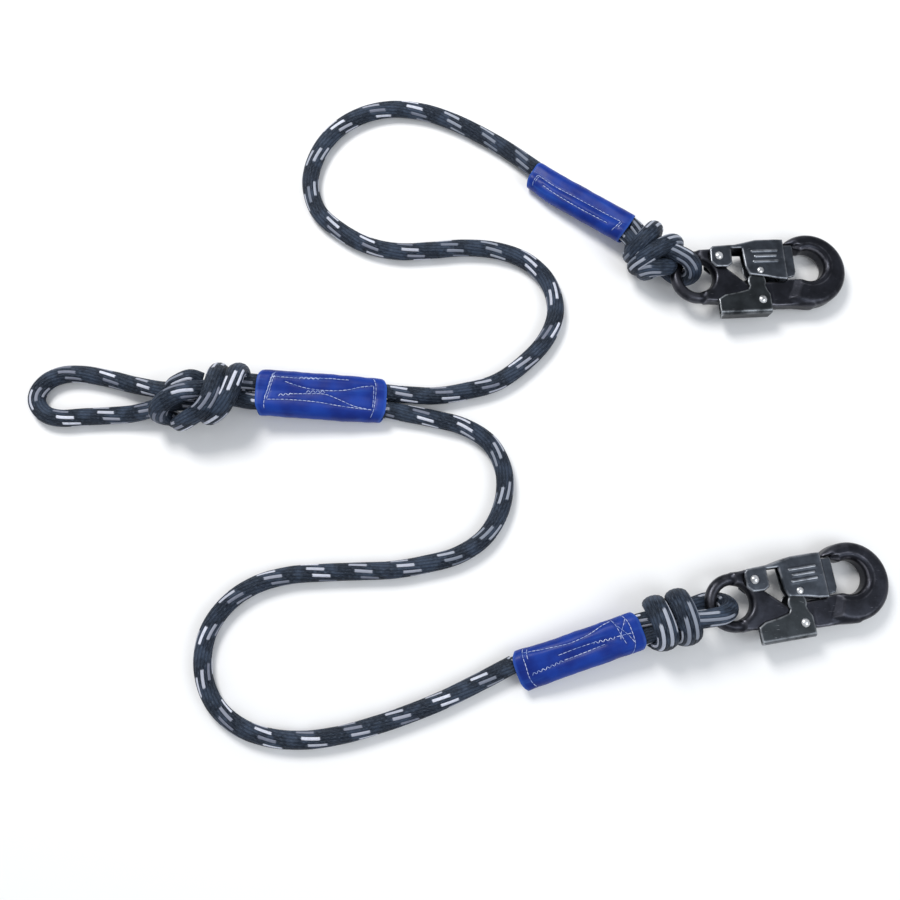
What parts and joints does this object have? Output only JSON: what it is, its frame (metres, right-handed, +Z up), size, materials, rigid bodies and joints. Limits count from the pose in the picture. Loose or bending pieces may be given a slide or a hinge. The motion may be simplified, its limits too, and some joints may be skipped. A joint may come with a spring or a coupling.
{
  "type": "twin-leg rope lanyard",
  "caption": "Twin-leg safety lanyard of dark flecked rope with a knotted waist loop, blue stitched sleeves and a double-action snap hook knotted to each leg.",
  "frame": {"origin": "centre of the footprint of the loop, knots, sleeves and hooks, on the surface the lanyard lies on", "axes": "+X from the waist loop to the hooks, +Y from leg b to leg a, +Z up"},
  "size_m": [0.6344, 0.503, 0.046],
  "materials": {
    "rope": "braided, pale flecks",
    "sleeve": "satin vinyl",
    "thread": "matt thread",
    "forged_steel": "black phosphate, worn edges",
    "gate_steel": "satin black",
    "lever_steel": "satin grey",
    "rivet": "bright",
    "spring_wire": "bright"
  },
  "bodies": {
    "root": {"waist_loop": "rope", "waist_knot": "rope", "leg_rope_a": "rope", "leg_rope_b": "rope", "fork_strands": "rope", "standing_strand_a": "rope", "standing_strand_b": "rope", "tail_strand_a": "rope", "tail_strand_b": "rope", "hook_knot_a": "rope", "hook_knot_b": "rope", "eye_rope_a": "rope", "eye_rope_b": "rope", "sleeve_centre": "sleeve", "sleeve_a": "sleeve", "sleeve_b": "sleeve", "stitching_centre": "thread", "stitching_a": "thread", "stitching_b": "thread"},
    "hook_a": {"hook_body_a": "forged_steel", "gate_pin_a": "rivet", "lever_pin_a": "rivet", "gate_spring_a": "spring_wire", "lever_spring_a": "spring_wire"},
    "gate_a": {"gate_a": "gate_steel"},
    "lever_a": {"lock_lever_a": "lever_steel"},
    "hook_b": {"hook_body_b": "forged_steel", "gate_pin_b": "rivet", "lever_pin_b": "rivet", "gate_spring_b": "spring_wire", "lever_spring_b": "spring_wire"},
    "gate_b": {"gate_b": "gate_steel"},
    "lever_b": {"lock_lever_b": "lever_steel"}
  },
  "joints": [
    {"name": "hook_slew_a", "type": "hinge", "parent": "root", "child": "hook_a", "pos_m": [0.1883, 0.1034, 0.0195], "axis": [0.1009, 0.0079, 0.9949], "range_deg": [-84, 12]},
    {"name": "gate_swing_a", "type": "hinge", "parent": "hook_a", "child": "gate_a", "pos_m": [0.20311, 0.11811, 0.01788], "axis": [-0.1009, -0.0079, -0.9949], "range_deg": [0, 18], "stiffness_Nm_per_rad": 0.25, "springref_deg": -22.92},
    {"name": "lever_squeeze_a", "type": "hinge", "parent": "hook_a", "child": "lever_a", "pos_m": [0.23614, 0.0851, 0.01479], "axis": [-0.1009, -0.0079, -0.9949], "range_deg": [0, 12.1]},
    {"name": "hook_slew_b", "type": "hinge", "parent": "root", "child": "hook_b", "pos_m": [0.2013, -0.1426, 0.0195], "axis": [0.0998, 0.0167, 0.9949], "range_deg": [-42, 52]},
    {"name": "gate_swing_b", "type": "hinge", "parent": "hook_b", "child": "gate_b", "pos_m": [0.21477, -0.12666, 0.01788], "axis": [-0.0998, -0.0167, -0.9949], "range_deg": [0, 18], "stiffness_Nm_per_rad": 0.25, "springref_deg": -22.92},
    {"name": "lever_squeeze_b", "type": "hinge", "parent": "hook_b", "child": "lever_b", "pos_m": [0.25056, -0.15666, 0.01479], "axis": [-0.0998, -0.0167, -0.9949], "range_deg": [0, 12.1]}
  ],
  "couplings": [
    {"joint": "lever_squeeze_a", "follows": "gate_swing_a", "ratio": 0.6667},
    {"joint": "lever_squeeze_b", "follows": "gate_swing_b", "ratio": 0.6667}
  ]
}
